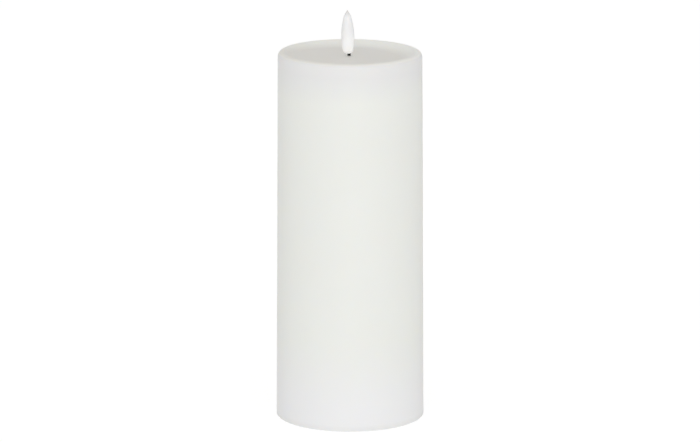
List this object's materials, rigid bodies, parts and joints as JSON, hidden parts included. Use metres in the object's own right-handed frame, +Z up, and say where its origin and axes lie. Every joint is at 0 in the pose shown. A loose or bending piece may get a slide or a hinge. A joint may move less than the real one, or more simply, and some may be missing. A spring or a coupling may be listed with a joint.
{
  "type": "flameless led candle",
  "caption": "Tall white wax pillar candle with a moulded LED flame on a black wick, battery powered, with a hinged battery door and a slide switch in its foot.",
  "frame": {"origin": "centre of the wax foot, in the plane the candle stands on", "axes": "+Z up through the wick, -Y the front, +X to the right seen from the front"},
  "size_m": [0.08, 0.08, 0.2225],
  "materials": {
    "wax": "matte",
    "flame": "satin",
    "wick": "matte",
    "white_plastic": "satin",
    "black_plastic": "satin",
    "circuit_board": "satin",
    "led": "gloss",
    "plated_contact": "satin",
    "spring_steel": "satin",
    "screw_steel": "satin",
    "battery_jacket": "satin",
    "enamelled_wire": "satin",
    "red_insulation": "satin",
    "black_insulation": "satin",
    "grey_insulation": "satin"
  },
  "bodies": {
    "candle": {"wax_shell": "wax", "flame_shell": "flame", "flame_plug": "flame", "wick_tube": "wick", "led_strip": "circuit_board", "led_lower": "led", "led_upper": "led", "flame_leads": "enamelled_wire", "wick_mount": "white_plastic", "head_board": "circuit_board", "head_screws": "screw_steel", "flame_driver": "black_plastic", "ir_receiver": "black_plastic", "mast_tube": "white_plastic", "lead_red": "red_insulation", "lead_black": "black_insulation", "wire_plug": "white_plastic", "board_header": "white_plastic", "main_board": "circuit_board", "timer_chip": "black_plastic", "crystal": "plated_contact", "capacitor": "black_plastic", "resistors": "black_plastic", "board_screws": "screw_steel", "core_cover": "white_plastic", "cover_screws": "screw_steel", "battery_housing": "white_plastic", "battery_1": "battery_jacket", "battery_2": "battery_jacket", "terminal_positive": "plated_contact", "terminal_negative": "plated_contact", "negative_spring": "spring_steel", "door_hinge_pin": "spring_steel", "switch_body": "plated_contact", "switch_screws": "screw_steel", "switch_leads": "grey_insulation"},
    "door": {"battery_door": "white_plastic", "door_contact": "plated_contact", "door_spring": "spring_steel", "catch_spring": "spring_steel"},
    "catch": {"door_catch": "white_plastic"},
    "knob": {"switch_knob": "black_plastic"}
  },
  "joints": [
    {"name": "door_hinge", "type": "hinge", "parent": "candle", "child": "door", "pos_m": [-0.0295, 0, 0.0024], "axis": [0, 1, 0], "range_deg": [0, 100]},
    {"name": "catch_slide", "type": "slide", "parent": "door", "child": "catch", "axis": [-1, 0, 0], "range_m": [0, 0.002], "stiffness_N_per_m": 300, "springref_m": -0.001, "deforming": ["catch_spring"]},
    {"name": "switch_slide", "type": "slide", "parent": "candle", "child": "knob", "axis": [1, 0, 0], "range_m": [0, 0.005]}
  ]
}
